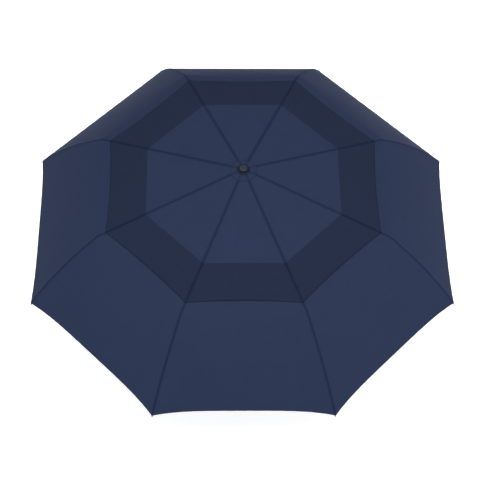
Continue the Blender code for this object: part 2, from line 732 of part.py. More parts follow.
def handle():
    bore = LOWER_TUBE_R + GAP
    profile = [(GRIP_NECK_R, GRIP_TOP), (GRIP_NECK_R + 0.001, GRIP_TOP - 0.003)]
    for i in range(1, 8):
        part = i / 8.0
        z = GRIP_TOP - 0.003 + (GRIP_BOTTOM - GRIP_TOP + 0.006) * part
        swell = math.sin(math.pi / 2.0 * min(1.0, part * 2.2))
        profile.append((GRIP_NECK_R + 0.001 + (GRIP_R - GRIP_NECK_R - 0.001) * swell, z))
    profile += [(GRIP_R - 0.001, GRIP_BOTTOM), (bore, GRIP_BOTTOM), (bore, GRIP_TOP)]
    grip = put("handle_grip", bake(turned("handle_grip", profile, black_plastic, steps=32), "handle_grip"),
               black_plastic)
    across = Matrix.Rotation(math.pi / 2.0, 4, "X")
    pocket_at = Matrix.Translation((0.0, -POCKET_FLOOR_R - POCKET_LENGTH / 2.0, BUTTON_Z))
    pocket = cylinder_mesh("button_pocket", BUTTON_R + GAP, POCKET_LENGTH, pocket_at @ across, 24)
    boolean(grip, pocket, "DIFFERENCE")
    cap_r = GRIP_R - 0.0015
    spigot = LOWER_TUBE_BOTTOM - GAP
    turned("handle_end_cap", [(0.0, spigot), (bore - GAP, spigot), (bore - GAP, GRIP_BOTTOM - GAP),
                              (cap_r, GRIP_BOTTOM - GAP), (cap_r, CAP_BOTTOM + 0.001),
                              (cap_r - 0.001, CAP_BOTTOM), (0.0, CAP_BOTTOM)],
           black_plastic, closed=False, steps=32)
    pin_half = GRIP_R - 0.0012
    sideways = Matrix.Translation((0.0, 0.0, CROSS_PIN_Z)) @ Matrix.Rotation(math.pi / 2.0, 4, "Y")
    for name in ("handle_grip", "lower_tube", "spring_seat"):
        drill = cylinder_mesh("pin_drill", CROSS_PIN_R + GAP, 4.0 * GRIP_R, sideways)
        boolean(bpy.data.objects[name], drill, "DIFFERENCE")
    put("handle_pin", cylinder_mesh("handle_pin", CROSS_PIN_R, 2.0 * pin_half, sideways), steel)


def button():
    """Push button on the grip's front, with its return spring in the pocket behind it."""
    outer = GRIP_R + BUTTON_PROUD
    back = POCKET_FLOOR_R + GAP + BUTTON_TRAVEL
    recess = back + BUTTON_RECESS
    face = Matrix.Rotation(math.pi / 2.0, 4, "X")
    made = turned("push_button", [(0.0, outer), (BUTTON_R - 0.0012, outer), (BUTTON_R, outer - 0.0010),
                                  (BUTTON_R, back), (BUTTON_RECESS_R, back), (BUTTON_RECESS_R, recess),
                                  (0.0, recess)],
                  black_plastic, closed=False, steps=24)
    made.matrix_world = Matrix.Translation((0.0, 0.0, BUTTON_Z)) @ face
    spring("button_spring", BUTTON_SPRING_R, BUTTON_SPRING_WIRE_R, POCKET_FLOOR_R,
           recess - BUTTON_TRAVEL, BUTTON_SPRING_TURNS,
           Matrix.Translation((0.0, 0.0, BUTTON_Z)) @ face)


def frame_of_ribs():
    """Every rib's pieces: the same meshes turned round the shaft, with origins on their pins."""
    on_stretcher, _ = tie_pins()
    kinds = [("inner_rib", inner_rib_mesh(), Vector((0.0, 0.0)), black_steel),
             ("stretcher", stretcher_mesh(), STRETCHER_PIN, black_steel),
             ("tie_link", tie_link_mesh(), on_stretcher, steel),
             ("outer_rib", outer_rib_mesh(), KNEE_PIN, fibreglass),
             ("rib_tip", rib_tip_mesh(), KNEE_PIN, black_plastic)]
    for kind, mesh, pin, paint in kinds:
        mesh.transform(Matrix.Translation((-pin.x, -pin.y, 0.0)))
        for number in range(1, RIBS + 1):
            place = rib_matrix(number) @ Matrix.Translation((pin.x, pin.y, 0.0))
            put(f"{kind}_{number}", mesh.copy(), paint, place)


def main():
    start_clean()
    shaft()
    ferrule()
    handle()
    button()
    hub("crown", UPPER_TUBE_R + GAP, CROWN_PIN_Z, 0.0, TONGUE_HALF + GAP, black_plastic)
    hub("runner", LOWER_TUBE_R + GAP, RUNNER_PIN_Z, RUNNER_SLEEVE, LANE_FAR + GAP, black_plastic)
    ring_wire("crown_wire", CROWN_PIN_Z)
    ring_wire("runner_wire", RUNNER_PIN_Z)
    frame_of_ribs()
    canopy_main()
    canopy_vent()
    closing_strap()


main()
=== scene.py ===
import json
from math import atan, atan2, cos, erfc, exp, hypot, pi, radians, sin, sqrt, tan, tanh

import bmesh
import bpy
from mathutils import Matrix, Vector

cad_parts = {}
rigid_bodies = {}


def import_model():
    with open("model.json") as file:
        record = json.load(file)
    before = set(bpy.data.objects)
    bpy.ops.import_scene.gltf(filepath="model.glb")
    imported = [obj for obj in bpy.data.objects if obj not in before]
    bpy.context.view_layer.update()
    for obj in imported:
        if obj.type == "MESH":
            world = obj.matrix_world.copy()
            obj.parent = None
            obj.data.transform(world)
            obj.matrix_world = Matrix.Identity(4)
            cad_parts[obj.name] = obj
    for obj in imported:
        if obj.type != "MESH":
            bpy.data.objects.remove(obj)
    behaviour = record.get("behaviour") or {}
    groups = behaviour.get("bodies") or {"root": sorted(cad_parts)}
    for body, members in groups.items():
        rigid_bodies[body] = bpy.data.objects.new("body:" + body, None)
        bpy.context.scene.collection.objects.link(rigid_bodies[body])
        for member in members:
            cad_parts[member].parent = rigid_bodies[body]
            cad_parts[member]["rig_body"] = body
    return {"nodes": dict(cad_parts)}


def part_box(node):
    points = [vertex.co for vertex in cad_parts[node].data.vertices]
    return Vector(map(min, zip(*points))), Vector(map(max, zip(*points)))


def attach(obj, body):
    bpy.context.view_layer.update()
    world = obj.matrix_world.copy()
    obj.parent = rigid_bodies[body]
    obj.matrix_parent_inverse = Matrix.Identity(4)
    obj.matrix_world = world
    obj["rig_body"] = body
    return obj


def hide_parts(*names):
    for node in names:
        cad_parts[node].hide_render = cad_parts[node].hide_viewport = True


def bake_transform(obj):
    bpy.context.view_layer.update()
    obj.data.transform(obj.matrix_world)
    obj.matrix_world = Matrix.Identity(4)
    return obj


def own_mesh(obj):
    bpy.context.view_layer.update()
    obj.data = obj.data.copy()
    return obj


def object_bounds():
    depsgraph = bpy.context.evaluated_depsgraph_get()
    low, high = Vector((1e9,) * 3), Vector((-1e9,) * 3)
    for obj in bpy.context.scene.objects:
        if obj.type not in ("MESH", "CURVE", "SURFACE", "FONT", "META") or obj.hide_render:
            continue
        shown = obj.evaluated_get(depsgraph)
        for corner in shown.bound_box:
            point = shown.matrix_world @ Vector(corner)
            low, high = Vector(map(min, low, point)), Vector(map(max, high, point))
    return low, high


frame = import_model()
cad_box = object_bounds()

bl_info = {
    "name": "Folding umbrella maker",
    "version": (1, 0, 0),
    "blender": (4, 5, 0),
    "location": "3D View > Sidebar > Umbrella",
    "description": "Makes the cloth, handle, ribs and fittings of a vented folding umbrella",
    "category": "Add Mesh",
}

# ---- the frame's own dimensions, in metres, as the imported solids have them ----
RIBS = 8
FIRST_RIB = radians(22.5)
STEP = 2.0 * pi / RIBS
FALL = 0.2                        # how far an open inner rib falls over its run
SLOPE = atan(FALL)
PIN_R = 0.0115
PIN_Z = 0.588
RIB_LENGTH = 0.330
CLOTH_TOP = 0.5965032             # the straight rib line's height at the shaft's axis
MAIN_LOWER = 0.0008               # main canopy under the vent cap
VENT_R = 0.315
HOLE_R = 0.2235
KNEE_R = PIN_R + RIB_LENGTH * cos(SLOPE)
CORNER_R = 0.500
CORNER_DROP = 0.173
ROOT = radians(35.9)
CLOTH_START = 0.0098              # the cloth's edge round the upper tube
APEX_FLAT_R = 0.0145              # the cloth is rounded between these two radii
APEX_R = 0.035
APEX_DROP = 0.0010
HEM_RISE = 0.012
VENT_RISE = 0.0055
SEAM_STRIP = 0.00728              # half width of the cloth that stays flat over a folded rib
COLLECTION = "folding_umbrella"


class UmbrellaSizes(bpy.types.PropertyGroup):
    cloth_thickness: bpy.props.FloatProperty(
        name="Cloth thickness", description="Thickness of the canopy cloth",
        default=0.0004, unit="LENGTH")
    thread: bpy.props.FloatProperty(
        name="Thread spacing", description="Distance between neighbouring threads of the weave",
        default=0.00045, unit="LENGTH")
    hem: bpy.props.FloatProperty(
        name="Hem width", description="Width of the turned hems", default=0.006, unit="LENGTH")
    seam: bpy.props.FloatProperty(
        name="Seam width", description="Half width of the stitched seam over each rib",
        default=0.0024, unit="LENGTH")
    grip_rings: bpy.props.IntProperty(
        name="Grip rings", description="Number of shallow rings round the hand grip", default=9)


class UmbrellaColours(bpy.types.PropertyGroup):
    cloth: bpy.props.FloatVectorProperty(
        name="Cloth", description="Colour of the canopy cloth", subtype="COLOR",
        default=(0.0170, 0.0248, 0.0548))
    # Painted shade: the double layer's darkening stands in for the light that shines through the
    # single layer.
    shade: bpy.props.FloatProperty(
        name="Double layer", description="How much of its brightness the double layer keeps",
        default=0.68, subtype="FACTOR")
    plastic: bpy.props.FloatVectorProperty(
        name="Plastic", description="Colour of the handle, crown and runner", subtype="COLOR",
        default=(0.020, 0.021, 0.024))
    ferrule: bpy.props.FloatVectorProperty(
        name="Ferrule", description="Colour of the ferrule cap", subtype="COLOR",
        default=(0.0040, 0.0065, 0.0150))
    ferrule_disc: bpy.props.FloatVectorProperty(
        name="Ferrule disc", description="Colour of the disc on the ferrule cap", subtype="COLOR",
        default=(0.017, 0.023, 0.036))
    tip: bpy.props.FloatVectorProperty(
        name="Rib tips", description="Colour of the caps on the rib ends", subtype="COLOR",
        default=(0.30, 0.31, 0.34))


# ---- shader helpers ----

def link(tree, value, socket):
    """Joins an output to a socket, or sets the socket when the value is a plain one."""
    if isinstance(value, bpy.types.NodeSocket):
        tree.links.new(value, socket)
    else:
        socket.default_value = value


def node(tree, kind, **values):
    """A new shader node, with its inputs joined or set by name."""
    made = tree.nodes.new("ShaderNode" + kind)
    for label, value in values.items():
        link(tree, value, made.inputs[label.replace("_", " ")])
    return made


def maths(tree, operation, *values, clamp=False):
    made = node(tree, "Math")
    made.operation = operation
    made.use_clamp = clamp
    for value, socket in zip(values, made.inputs):
        link(tree, value, socket)
    return made.outputs[0]


def ramp(tree, value, low, high, out_low=0.0, out_high=1.0):
    """A clamped smooth change of the value from one range to another."""
    made = node(tree, "MapRange", Value=value, From_Min=low, From_Max=high, To_Min=out_low,
                To_Max=out_high)
    made.interpolation_type = "SMOOTHSTEP"
    return made.outputs["Result"]


def times(tree, a, b):
    return maths(tree, "MULTIPLY", a, b)


def mixed(tree, share, a, b, blend="MIX"):
    """A mix of two colours, or one colour times a value."""
    made = node(tree, "Mix")
    made.data_type = "RGBA"
    made.blend_type = blend
    link(tree, share, made.inputs[0])
    for value, socket in ((a, made.inputs[6]), (b, made.inputs[7])):
        link(tree, value if isinstance(value, bpy.types.NodeSocket) else (*value, 1.0), socket)
    return made.outputs[2]


def shaded(colour, share):
    return tuple(channel * share for channel in colour)


def noise(tree, vector, scale, detail=3.0, roughness=0.5):
    return node(tree, "TexNoise", Vector=vector, Scale=scale, Detail=detail,
                Roughness=roughness).outputs["Fac"]


def stretched(tree, vector, scale):
    return node(tree, "Mapping", Vector=vector, Scale=scale).outputs["Vector"]


def parts_of(tree, vector):
    return node(tree, "SeparateXYZ", Vector=vector).outputs


def uv(tree, name):
    made = node(tree, "UVMap")
    made.uv_map = name
    return made.outputs["UV"]


def object_place(tree):
    return node(tree, "TexCoord").outputs["Object"]


def group(name, inputs, outputs):
    """An empty node group with its sockets, and its input and output nodes."""
    tree = bpy.data.node_groups.new(name, "ShaderNodeTree")
    for label, kind, default in inputs:
        socket = tree.interface.new_socket(label, in_out="INPUT", socket_type=kind)
        if default is not None:
            socket.default_value = default
    for label, kind in outputs:
        tree.interface.new_socket(label, in_out="OUTPUT", socket_type=kind)
    return tree, tree.nodes.new("NodeGroupInput").outputs, tree.nodes.new("NodeGroupOutput").inputs


def placed(tree, name, **values):
    """A node group placed in a material, with its values. Returns its outputs."""
    made = tree.nodes.new("ShaderNodeGroup")
    made.node_tree = bpy.data.node_groups[name]
    for label, value in values.items():
        link(tree, value, made.inputs[label.replace("_", " ")])
    return made.outputs


def make_groups():
    """The effects that several finishes share."""
    value, vector = "NodeSocketFloat", "NodeSocketVector"

    tree, given, out = group("Woven threads", [("Place", vector, None), ("Spacing", value, 0.0005)],
                             [("Height", value), ("Shade", value)])
    x, y, _ = parts_of(tree, given["Place"])
    turns = maths(tree, "DIVIDE", pi, given["Spacing"])
    warp = maths(tree, "ABSOLUTE", maths(tree, "SINE", times(tree, x, turns)))
    weft = maths(tree, "ABSOLUTE", maths(tree, "SINE", times(tree, y, turns)))
    link(tree, times(tree, warp, weft), out["Height"])
    streaks = noise(tree, stretched(tree, given["Place"], (420.0, 9.0, 1.0)), 1.0, 2.0)
    cross = noise(tree, stretched(tree, given["Place"], (9.0, 420.0, 1.0)), 1.0, 2.0)
    link(tree, ramp(tree, maths(tree, "ADD", streaks, cross), 0.7, 1.3, 0.955, 1.045), out["Shade"])

    tree, given, out = group("Slow mottling", [("Place", vector, None), ("Scale", value, 8.0),
                                               ("Amount", value, 0.05)], [("Shade", value)])
    about = maths(tree, "SUBTRACT", noise(tree, given["Place"], given["Scale"], 4.0), 0.5)
    link(tree, maths(tree, "MULTIPLY_ADD", about, times(tree, given["Amount"], 2.0), 1.0),
         out["Shade"])

    tree, given, out = group("Stitch row", [("Across", value, 0.0), ("Along", value, 0.0),
                                            ("Offset", value, 0.004), ("Pitch", value, 0.0026)],
                             [("Thread", value), ("Pull", value)])
    away = maths(tree, "ABSOLUTE", maths(tree, "SUBTRACT", given["Across"], given["Offset"]))
    line = ramp(tree, away, 0.00022, 0.00045, 1.0, 0.0)
    wave = maths(tree, "SINE", times(tree, maths(tree, "DIVIDE", given["Along"],
                                                 given["Pitch"]), 2.0 * pi))
    link(tree, times(tree, line, ramp(tree, wave, -0.5, -0.2)), out["Thread"])
    link(tree, ramp(tree, away, 0.0002, 0.0018, 1.0, 0.0), out["Pull"])

    tree, given, out = group("Moulded grain", [("Place", vector, None), ("Size", value, 900.0)],
                             [("Height", value), ("Polish", value)])
    cells = node(tree, "TexVoronoi", Vector=given["Place"], Scale=given["Size"])
    link(tree, cells.outputs["Distance"], out["Height"])
    link(tree, ramp(tree, noise(tree, given["Place"], 35.0, 5.0), 0.35, 0.65), out["Polish"])

    tree, given, out = group("Drawn metal", [("Place", vector, None)],
                             [("Height", value), ("Tone", value), ("Haze", value)])
    lines = noise(tree, stretched(tree, given["Place"], (900.0, 900.0, 6.0)), 1.0, 4.0)
    clouds = noise(tree, given["Place"], 22.0, 5.0)
    link(tree, lines, out["Height"])
    link(tree, ramp(tree, clouds, 0.3, 0.7, 0.88, 1.06), out["Tone"])
    link(tree, ramp(tree, maths(tree, "ADD", lines, clouds), 0.7, 1.3), out["Haze"])

    tree, given, out = group("Handling wear", [("Place", vector, None), ("Amount", value, 0.3)],
                             [("Mask", value)])
    spots = noise(tree, given["Place"], 60.0, 8.0, 0.65)
    broad = noise(tree, given["Place"], 14.0, 2.0)
    both = times(tree, ramp(tree, spots, 0.5, 0.72), ramp(tree, broad, 0.42, 0.62))
    link(tree, maths(tree, "MULTIPLY", both, given["Amount"], clamp=True), out["Mask"])


def finish(name, roughness, metallic=0.0, specular=0.5, coat=0.0, sheen=0.0, tint=(1.0, 1.0, 1.0)):
    """A new material. Returns it with its node tree and its shader's sockets."""
    made = bpy.data.materials.new(name)
    made.use_nodes = True
    tree = made.node_tree
    shader = tree.nodes["Principled BSDF"]
    for label, value in (("Roughness", roughness), ("Metallic", metallic),
                         ("Specular IOR Level", specular), ("Coat Weight", coat),
                         ("Coat Roughness", 0.25), ("Sheen Weight", sheen),
                         ("Sheen Roughness", 0.5), ("Sheen Tint", (*tint, 1.0))):
        shader.inputs[label].default_value = value
    return made, tree, shader.inputs


def bumped(tree, height, distance, strength=1.0, normal=None):
    made = node(tree, "Bump", Distance=distance, Strength=strength, Height=height)
    if normal is not None:
        link(tree, normal, made.inputs["Normal"])
    return made.outputs["Normal"]


SEAM_LOOKS = {                    # how far a seam's shadow reaches, and how deep it is
    "vent": (2.6, 0.80),
    "main": (2.2, 0.80),
    "patch": (2.2, 0.5),
}


def cloth_material(name, colours, sizes, kind):
    """Woven polyester: fine threads, a stitched seam over each rib, and turned hems, with painted
    shadow along the seams and the hems' edges, and painted shade over the vent cap's double layer.
    """
    made, tree, sockets = finish(name, 0.74, specular=0.03, sheen=0.02, tint=(0.35, 0.5, 1.0))
    cloth = uv(tree, "cloth")
    from_rib, from_hem, _ = parts_of(tree, uv(tree, "edge"))
    out_from_shaft, _, _ = parts_of(tree, uv(tree, "place"))
    _, along, _ = parts_of(tree, cloth)
    woven = placed(tree, "Woven threads", Place=cloth, Spacing=sizes.thread)
    mottle = placed(tree, "Slow mottling", Place=object_place(tree), Scale=7.0, Amount=0.05)
    seam = placed(tree, "Stitch row", Across=from_rib, Along=along, Offset=sizes.seam, Pitch=0.0028)
    hem = placed(tree, "Stitch row", Across=from_hem, Along=from_rib, Offset=sizes.hem * 0.75,
                 Pitch=0.0028)
    tone = times(tree, woven["Shade"], mottle["Shade"])
    # Painted shadow: the cloth is darkened along each hem's edge.
    tone = times(tree, tone, ramp(tree, from_hem, 0.0, 0.0022, 0.62, 1.0))
    tone = times(tree, tone, ramp(tree, from_hem, sizes.hem - 0.0002, sizes.hem + 0.0002,
                                  0.95, 1.0))
    if kind == "vent":
        # Painted shade: the vent cap is darkened where it lies over the main canopy, standing in for
        # the light that the single layer lets through.
        band = ramp(tree, out_from_shaft, HOLE_R - 0.0008, HOLE_R + 0.0008, 1.0, colours.shade)
        tone = times(tree, tone, band)
    reach, deep = SEAM_LOOKS[kind]
    # Painted shadow: the cloth is darkened beside each seam's rib line, where shade falls in the
    # seam's groove.
    seam_shadow_mask = ramp(tree, from_rib, 0.0006, sizes.seam * reach, deep, 0.0)
    shadow = tuple(channel * share for channel, share in zip(colours.cloth, (0.42, 0.50, 0.66)))
    base = mixed(tree, seam_shadow_mask, colours.cloth, shadow)
    base = mixed(tree, 1.0, base, tone, "MULTIPLY")
    threads = maths(tree, "MAXIMUM", seam["Thread"], hem["Thread"])
    link(tree, mixed(tree, times(tree, threads, 0.6), base, shaded(colours.cloth, 1.2)),
         sockets["Base Color"])
    link(tree, ramp(tree, mottle["Shade"], 0.95, 1.05, 0.70, 0.80), sockets["Roughness"])
    relief = bumped(tree, woven["Height"], 0.00004, 0.5)
    pulls = maths(tree, "MAXIMUM", seam["Pull"], hem["Pull"])
    pulls = maths(tree, "SUBTRACT", times(tree, threads, 0.6), pulls)
    link(tree, bumped(tree, pulls, 0.0002, 0.6, relief), sockets["Normal"])
    return made


def plain_cloth_material(name, colour, sizes):
    """The same weave on small pieces, laid by place instead of a map of their own."""
    made, tree, sockets = finish(name, 0.8, specular=0.05, sheen=0.02, tint=(0.35, 0.5, 1.0))
    place = object_place(tree)
    woven = placed(tree, "Woven threads", Place=place, Spacing=sizes.thread)
    mottle = placed(tree, "Slow mottling", Place=place, Scale=60.0, Amount=0.10)
    tone = times(tree, woven["Shade"], mottle["Shade"])
    link(tree, mixed(tree, 1.0, colour, tone, "MULTIPLY"), sockets["Base Color"])
    link(tree, bumped(tree, woven["Height"], 0.00005, 0.6), sockets["Normal"])
    return made


def plastic_material(name, colour, roughness, grain, wear=0.3, coat=0.0, specular=0.4):
    """Moulded plastic or rubber with a fine grain and a little polish where hands rub it."""
    made, tree, sockets = finish(name, roughness, specular=specular, coat=coat)
    place = object_place(tree)
    moulded = placed(tree, "Moulded grain", Place=place, Size=grain)
    worn = placed(tree, "Handling wear", Place=place, Amount=wear)
    mottle = placed(tree, "Slow mottling", Place=place, Scale=45.0, Amount=0.12)
    base = mixed(tree, worn["Mask"], colour, shaded(colour, 1.9))
    link(tree, mixed(tree, 1.0, base, mottle["Shade"], "MULTIPLY"), sockets["Base Color"])
    rough = ramp(tree, moulded["Polish"], 0.0, 1.0, roughness - 0.07, roughness + 0.07)
    link(tree, maths(tree, "SUBTRACT", rough, times(tree, worn["Mask"], 0.15), clamp=True),
         sockets["Roughness"])
    link(tree, bumped(tree, moulded["Height"], 0.00006, 0.45), sockets["Normal"])
    return made


def metal_material(name, colour, roughness, metallic=1.0, coat=0.0):
    """Drawn or plated steel with fine lines and faint tarnish."""
    made, tree, sockets = finish(name, roughness, metallic, coat=coat)
    place = object_place(tree)
    drawn = placed(tree, "Drawn metal", Place=place)
    worn = placed(tree, "Handling wear", Place=place, Amount=0.5)
    base = mixed(tree, worn["Mask"], colour, shaded(colour, 0.72))
    link(tree, mixed(tree, 1.0, base, drawn["Tone"], "MULTIPLY"), sockets["Base Color"])
    link(tree, ramp(tree, drawn["Haze"], 0.0, 1.0, roughness - 0.05, roughness + 0.10),
         sockets["Roughness"])
    link(tree, bumped(tree, drawn["Height"], 0.00002, 0.3), sockets["Normal"])
    return made


def rod_material(name, colour):
    """Pultruded glass fibre in dark resin, its fibres along the rod."""
    made, tree, sockets = finish(name, 0.38, specular=0.5, coat=0.25)
    place = object_place(tree)
    fibres = noise(tree, stretched(tree, place, (700.0, 700.0, 60.0)), 1.0, 5.0)
    mottle = placed(tree, "Slow mottling", Place=place, Scale=90.0, Amount=0.2)
    base = mixed(tree, ramp(tree, fibres, 0.45, 0.7), colour, shaded(colour, 1.9))
    link(tree, mixed(tree, 1.0, base, mottle["Shade"], "MULTIPLY"), sockets["Base Color"])
    link(tree, ramp(tree, fibres, 0.3, 0.7, 0.3, 0.48), sockets["Roughness"])
    link(tree, bumped(tree, fibres, 0.00004, 0.4), sockets["Normal"])
    return made


def make_finishes(sizes, colours):
    make_groups()
    for name, kind in (("vent_cloth", "vent"), ("canopy_cloth", "main"), ("patch_cloth", "patch")):
        cloth_material(name, colours, sizes, kind)
    for name, share in (("trim_cloth", 0.8), ("strap_cloth", 0.9), ("sewing_thread", 1.1)):
        plain_cloth_material(name, shaded(colours.cloth, share), sizes)
    # roughness, cells of grain to the metre, wear, and coat
    plastic_material("grip_rubber_finish", colours.plastic, 0.62, 1500.0, 0.5)
    plastic_material("satin_plastic", shaded(colours.plastic, 1.2), 0.42, 1100.0, 0.4)
    plastic_material("button_plastic_finish", (0.42, 0.43, 0.45), 0.33, 1600.0, 0.25, 0.2)
    plastic_material("hub_plastic_finish", shaded(colours.plastic, 1.1), 0.45, 1300.0)
    plastic_material("inner_plastic_finish", (0.09, 0.09, 0.09), 0.5, 1300.0)
    plastic_material("ferrule_plastic_finish", colours.ferrule, 0.58, 1400.0, 0.35, specular=0.12)
    plastic_material("ferrule_disc_finish", colours.ferrule_disc, 0.6, 1400.0, 0.4, specular=0.12)
    plastic_material("tip_plastic_finish", colours.tip, 0.42, 1800.0, 0.5)
    # colour, roughness, and how metallic and coated it is
    for name, *looks in (("tube_chrome", (0.40, 0.41, 0.43), 0.24),
                         ("pin_bright_steel", (0.60, 0.60, 0.61), 0.30),
                         ("spring_wire_steel", (0.50, 0.50, 0.52), 0.34),
                         ("link_steel", (0.55, 0.56, 0.58), 0.32),
                         ("black_rib_steel", (0.045, 0.046, 0.050), 0.40, 0.75, 0.15)):
        metal_material(name, *looks)
    rod_material("fibre_rod", (0.030, 0.031, 0.036))


# ---- meshes ----


def place_mesh(name, shape, material, body=None, stands_for=None, angle=32.0):
    """Turns a bmesh into a finished piece. It rides on the body, if one is given."""
    mesh = bpy.data.meshes.new(name)
    shape.to_mesh(mesh)
    shape.free()
    mesh.materials.append(bpy.data.materials[material])
    mesh.shade_smooth()
    mesh.set_sharp_from_angle(angle=radians(angle))
    made = bpy.data.objects.new(name, mesh)
    bpy.data.collections[COLLECTION].objects.link(made)
    if body:
        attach(made, body)
    if stands_for:
        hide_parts(stands_for)
    return made


def shaped(made, modifier):
    """Applies a modifier to a piece's mesh."""
    ready = bpy.data.meshes.new_from_object(made.evaluated_get(bpy.context.evaluated_depsgraph_get()))
    made.modifiers.remove(modifier)
    made.data = ready
    ready.shade_smooth()
    ready.set_sharp_from_angle(angle=radians(50.0))


def give_thickness(made, thickness):
    thick = made.modifiers.new("Thickness", "SOLIDIFY")
    thick.thickness = thickness
    thick.offset = -1.0
    shaped(made, thick)


def carve(made, tool_shape):
    """Cuts the bmesh's solid out of a piece."""
    mesh = bpy.data.meshes.new("tool")
    tool_shape.to_mesh(mesh)
    tool_shape.free()
    tool = bpy.data.objects.new("tool", mesh)
    bpy.data.collections[COLLECTION].objects.link(tool)
    cut = made.modifiers.new("Cut", "BOOLEAN")
    cut.operation = "DIFFERENCE"
    cut.solver = "EXACT"
    cut.object = tool
    shaped(made, cut)
    bpy.data.objects.remove(tool, do_unlink=True)


def beveled(shape, width, segments=2, angle=35.0):
    """Rounds the sharp edges of a bmesh."""
    limit = radians(angle)
    edges = [e for e in shape.edges if len(e.link_faces) == 2 and e.calc_face_angle(0.0) > limit]
    if edges:
        bmesh.ops.bevel(shape, geom=edges, offset=width, offset_type="OFFSET", segments=segments,
                        profile=0.5, affect="EDGES", material=-1, clamp_overlap=True)
    return shape


def spun(profile, steps=48, matrix=None):
    """A turned solid: the profile is (radius, height), from the axis or closed on itself."""
    shape = bmesh.new()
    points = [shape.verts.new((r, 0.0, z)) for r, z in profile]
    edges = [shape.edges.new(pair) for pair in zip(points, points[1:])]
    if profile[0][0] > 0.0 or profile[-1][0] > 0.0:
        edges.append(shape.edges.new((points[-1], points[0])))
    bmesh.ops.spin(shape, geom=points + edges, cent=(0.0, 0.0, 0.0), axis=(0.0, 0.0, 1.0),
                   angle=2.0 * pi, steps=steps, use_merge=True, use_normal_flip=False)
    bmesh.ops.remove_doubles(shape, verts=shape.verts, dist=0.000002)
    bmesh.ops.recalc_face_normals(shape, faces=shape.faces)
    if matrix is not None:
        bmesh.ops.transform(shape, matrix=matrix, verts=shape.verts)
    return shape


def merged_copy(node):
    """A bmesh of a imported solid, with its loose triangles merged."""
    shape = bmesh.new()
    shape.from_mesh(frame["nodes"][node].data)
    bmesh.ops.remove_doubles(shape, verts=shape.verts, dist=0.000004)
    return shape


def rib_turn(number):
    """A rib's direction round the shaft."""
    return FIRST_RIB + STEP * (number - 1)


def around(r, turn, z):
    """A point from its radius, its direction round the shaft and its height."""
    return (r * cos(turn), r * sin(turn), z)


def rib_point(number, x, y):
    """A point in a rib's plane, x along the open inner rib and y towards the cloth."""
    r = PIN_R + x * cos(SLOPE) + y * sin(SLOPE)
    z = PIN_Z - x * sin(SLOPE) + y * cos(SLOPE)
    return Vector(around(r, rib_turn(number), z))


# ---- canopy ----

def knee_line():
    """The cloth's knee and corner as (radius, height), and the arc between them."""
    knee = (KNEE_R, CLOTH_TOP - MAIN_LOWER - FALL * KNEE_R)
    corner = (CORNER_R, CLOTH_TOP - FALL * VENT_R - CORNER_DROP)
    chord = hypot(corner[0] - knee[0], corner[1] - knee[1])
    lean = atan2(knee[1] - corner[1], corner[0] - knee[0]) - ROOT
    bend = chord / (2.0 * sin(lean))
    return knee, bend, 2.0 * lean * bend


KNEE, ARC_R, ARC_LENGTH = knee_line()
INNER_LENGTH = (KNEE_R - HOLE_R) / cos(SLOPE)


def ridge(x, height, at, width):
    """A low rounded ridge, or a groove where the height is below nothing."""
    return height * exp(-((x - at) / width) ** 2)


def bell(u):
    """How far a rounded kink lies inside its corner, for a bend of one radian and width one."""
    tail = 0.5 * erfc(abs(u) / sqrt(2.0))
    return exp(-0.5 * u * u) / sqrt(2.0 * pi) - abs(u) * tail


def main_point(s, t):
    """The main canopy's rib line at a length s past the knee, rounded more towards mid gore."""
    if s < 0.0:
        r = KNEE[0] + s * cos(SLOPE)
        z = KNEE[1] - s * sin(SLOPE)
        slope = SLOPE
    else:
        half = s / (2.0 * ARC_R)
        reach = 2.0 * ARC_R * sin(half)
        r = KNEE[0] + reach * cos(ROOT + half)
        z = KNEE[1] - reach * sin(ROOT + half)
        slope = ROOT + 2.0 * half
    width = 0.007 + 0.026 * (4.0 * t * (1.0 - t)) ** 1.5
    inside = (ROOT - SLOPE) * width * bell(s / width) - ridge(s, 0.0008, 0.0, 0.015)
    middle = 0.5 * (SLOPE + ROOT)
    return r - inside * sin(middle), z - inside * cos(middle), slope


def vent_point(s):
    """The vent cap's rib line at a length s from the apex."""
    r = s * cos(SLOPE)
    drop = APEX_DROP * max(0.0, (APEX_R - r) / (APEX_R - APEX_FLAT_R)) ** 2
    return r, CLOTH_TOP - FALL * r - drop, SLOPE


def spaced(start, end, step, fine, count_fine):
    """Lengths from start to end, with fine steps just before the end."""
    near = [end - fine * i for i in range(count_fine + 1)][::-1]
    count = max(1, round((near[0] - start) / step))
    return [start + (near[0] - start) * i / count for i in range(count)] + near


BESIDE = (0.0, 0.0005, 0.0011, 0.0018, 0.0026, 0.0036, 0.0052, SEAM_STRIP)
COLUMNS = 22
STRIP_COLUMN = len(BESIDE) - 1


def across_shares(r):
    """Shares of a half gore, close together over the rib's flat strip."""
    half = r * sin(STEP / 2.0)
    narrow = min(1.0, half / SEAM_STRIP)
    out = [0.5 * beside * narrow / half for beside in BESIDE]
    rest = COLUMNS - len(BESIDE)
    return out + [out[-1] + (0.5 - out[-1]) * (i + 1) / rest for i in range(rest)]


CUT_TURN = 0.75                   # how far the main canopy's cut turns towards square to the rib


def cut_length(t):
    """Where the inner and outer parts of the main canopy meet, as a length past the knee."""
    square = 1.0 / (1.0 - (1.0 - cos(STEP)) * t)
    target = KNEE_R * (1.0 + CUT_TURN * (square - 1.0)) - KNEE_R
    s = target / cos(ROOT)
    for _ in range(6):
        half = s / (2.0 * ARC_R)
        s += (target - 2.0 * ARC_R * sin(half) * cos(ROOT + half)) / cos(ROOT + half)
    return s


